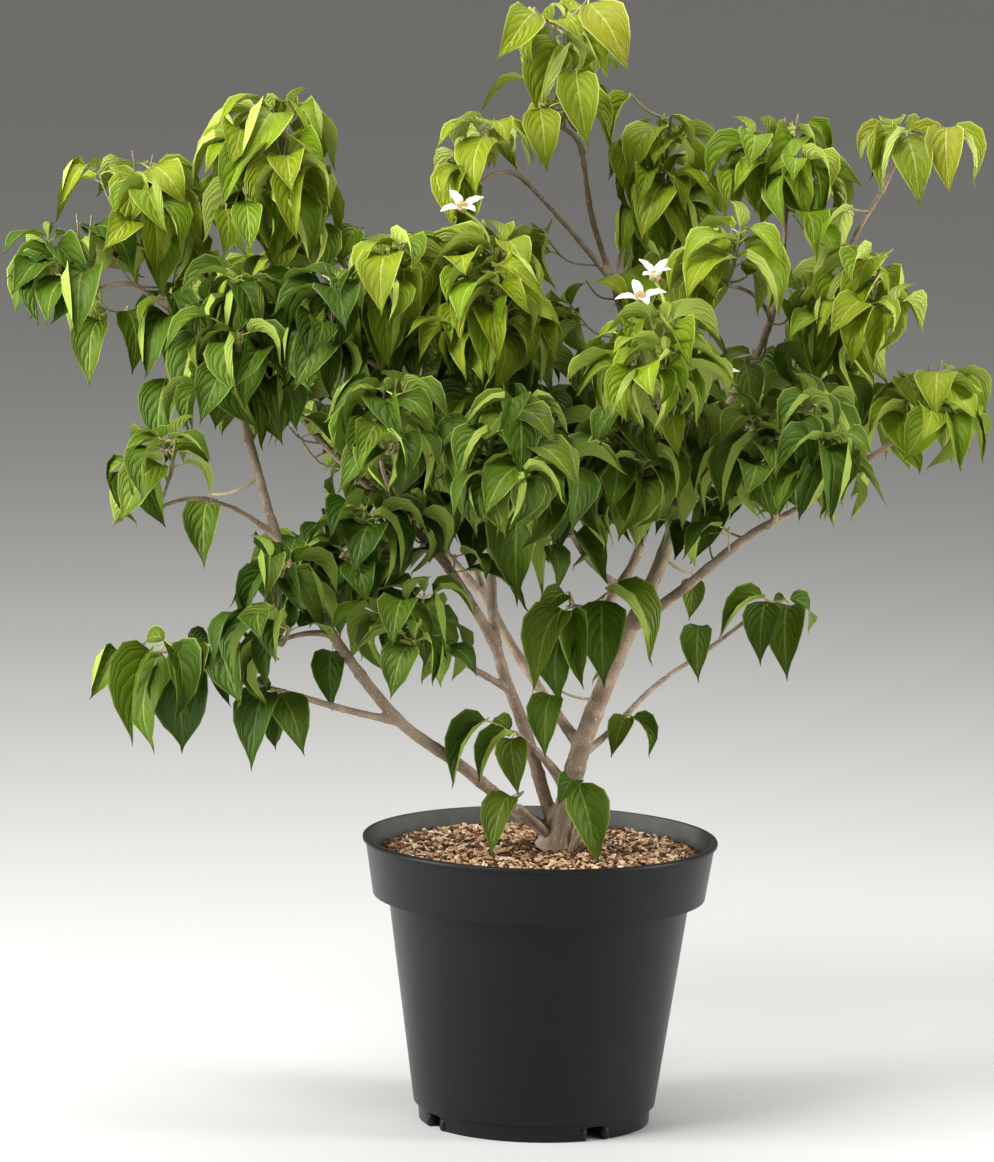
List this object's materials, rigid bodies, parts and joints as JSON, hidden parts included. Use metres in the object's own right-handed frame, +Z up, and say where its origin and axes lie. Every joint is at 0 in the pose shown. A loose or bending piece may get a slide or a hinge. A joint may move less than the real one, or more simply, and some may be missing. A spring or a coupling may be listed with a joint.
{
  "type": "potted flowering dogwood shrub",
  "caption": "Young many-stemmed flowering dogwood shrub in a round nursery pot, with grey-brown boughs, arching pointed leaves and white pointed blooms.",
  "frame": {"origin": "the centre of the pot's flat underside, at the level that the plant stands on", "axes": "+Z up along the pot, +X to the right of the shrub's show side, +Y away from the show side"},
  "size_m": [0.7699, 0.5126, 0.8919],
  "materials": {
    "pot_plastic": "satin moulded polypropylene, charcoal black",
    "bark_mulch": "loose tan and brown bark chips over dark moist compost",
    "bark": "smooth grey-brown young bark with pale breathing pores",
    "foliage_lime": "young yellow-green leaves, satin",
    "foliage_fresh": "fresh mid-green leaves, satin",
    "foliage_green": "full green leaves with a pale matt underside",
    "foliage_deep": "deep green shaded leaves",
    "blossom": "ivory-white flower bracts round a greenish ball"
  },
  "bodies": {
    "root": {"pot": "pot_plastic", "potting_soil": "bark_mulch", "trunk": "bark", "stem_middle": "bark", "stem_left": "bark", "leader": "bark", "bough_low_back": "bark", "bough_low_right": "bark", "bough_low_left": "bark", "bough_right": "bark", "bough_low_front": "bark", "bough_long_left": "bark", "bough_centre": "bark", "bough_front": "bark", "bough_upper_right": "bark", "bough_far_right": "bark", "bough_top_left": "bark", "bough_top_right": "bark", "bough_left_up": "bark", "bough_left_outer": "bark", "bough_left_low": "bark", "bough_back_left": "bark", "bough_back_right": "bark", "bough_back_top": "bark", "foliage_top_leader": "foliage_lime", "foliage_top_left": "foliage_lime", "foliage_top_right": "foliage_fresh", "foliage_upper_right": "foliage_fresh", "foliage_far_right_top": "foliage_lime", "foliage_right_shoulder": "foliage_fresh", "foliage_right_inner": "foliage_fresh", "foliage_right_edge": "foliage_fresh", "foliage_right_low": "foliage_green", "foliage_dome": "foliage_fresh", "foliage_dome_low": "foliage_green", "foliage_centre_top": "foliage_fresh", "foliage_centre_left": "foliage_fresh", "foliage_centre_front": "foliage_green", "foliage_left_front": "foliage_green", "foliage_left_top": "foliage_fresh", "foliage_left_outer": "foliage_fresh", "foliage_far_left": "foliage_green", "foliage_left_inner": "foliage_green", "foliage_left_inner_right": "foliage_deep", "foliage_left_low": "foliage_green", "foliage_low_left_mid": "foliage_deep", "foliage_left_centre_low": "foliage_deep", "foliage_far_low_left": "foliage_deep", "foliage_low_left_small": "foliage_deep", "foliage_low_front": "foliage_deep", "foliage_low_centre": "foliage_deep", "foliage_basal_shoots": "foliage_deep", "foliage_low_right": "foliage_deep", "foliage_back_high": "foliage_fresh", "foliage_back_centre": "foliage_fresh", "foliage_back_left": "foliage_fresh", "foliage_back_left_low": "foliage_deep", "foliage_back_right": "foliage_fresh", "foliage_back_low": "foliage_green", "foliage_back_mid": "foliage_green"}
  },
  "joints": []
}
